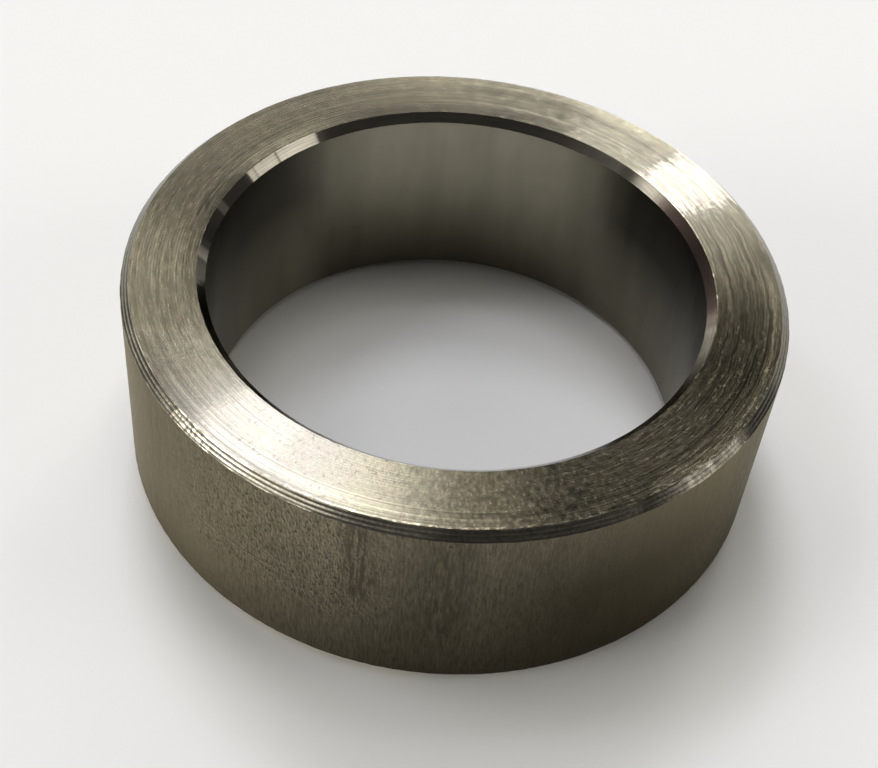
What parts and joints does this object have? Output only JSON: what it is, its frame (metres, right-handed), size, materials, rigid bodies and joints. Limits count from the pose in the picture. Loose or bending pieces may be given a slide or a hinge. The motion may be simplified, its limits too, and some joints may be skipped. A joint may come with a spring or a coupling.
{
  "type": "shaft stop ring",
  "caption": "Plain turned steel ring with chamfered edges, pressed on a shaft to stop a bearing or hub from sliding along it.",
  "frame": {"origin": "centre of the ring's lower end face, on the bore axis", "axes": "+Z along the bore axis, from the lower end face to the upper one; the ring is the same all round, so X and Y are free"},
  "size_m": [0.0465, 0.0464, 0.0155],
  "materials": {
    "turned_steel": "bare turned steel, fine concentric tool marks on the end faces, drawn-looking outer wall with small pits"
  },
  "bodies": {
    "root": {"stop_ring": "turned_steel"}
  },
  "joints": []
}
